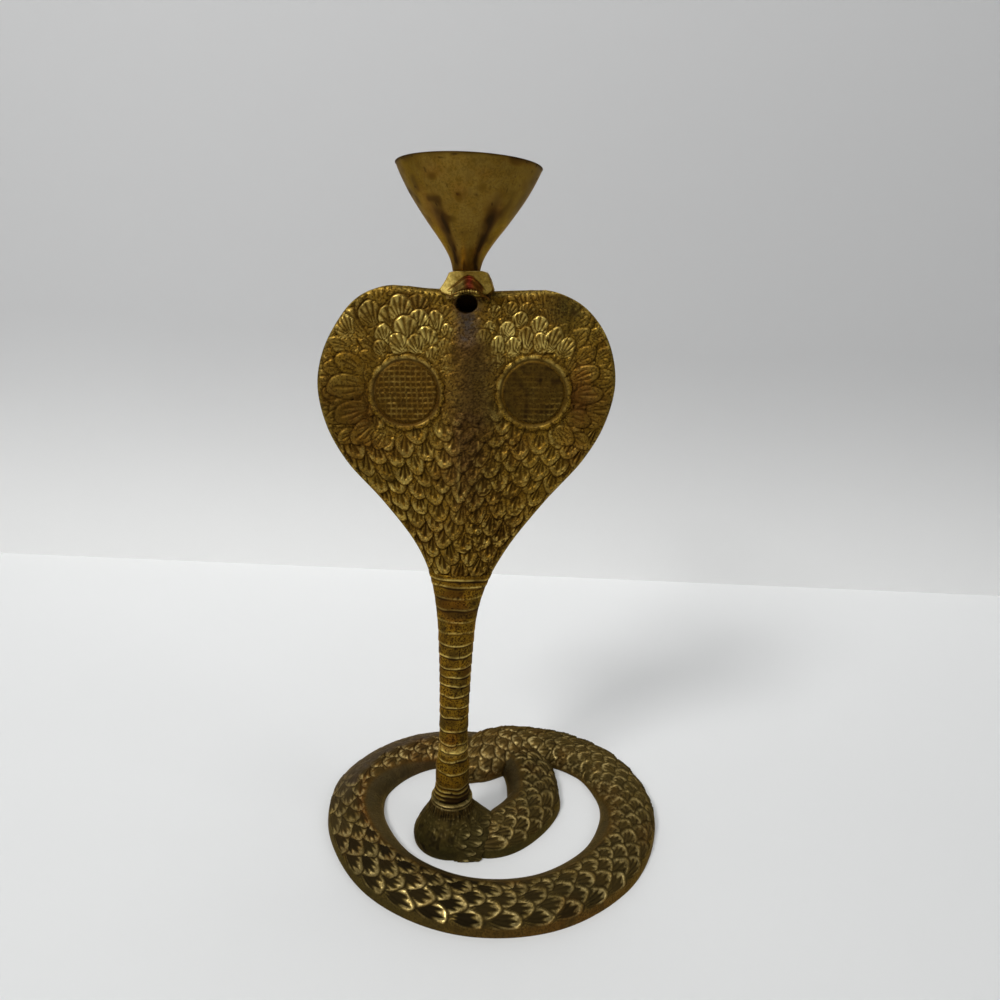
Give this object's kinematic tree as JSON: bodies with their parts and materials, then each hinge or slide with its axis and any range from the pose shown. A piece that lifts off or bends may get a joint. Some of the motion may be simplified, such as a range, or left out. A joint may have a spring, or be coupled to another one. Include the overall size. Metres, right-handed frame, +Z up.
{
  "type": "candle holder",
  "caption": "Cast brass candle holder: a hooded cobra rises from its own coil and carries a flared candle cup on its head.",
  "frame": {"origin": "middle of the coil's footprint, on the floor", "axes": "+X to the right of the front view, +Y from the snake's face to its back, +Z up"},
  "size_m": [0.1328, 0.1146, 0.24],
  "materials": {
    "cast_brass": "aged, dark in the recesses",
    "turned_brass": "turned, dulled",
    "steel": "plain"
  },
  "bodies": {
    "root": {"coil_base": "cast_brass", "cobra_body": "cast_brass", "candle_cup": "turned_brass", "cup_stud": "steel", "base_screw": "steel", "base_washer": "steel"}
  },
  "joints": []
}
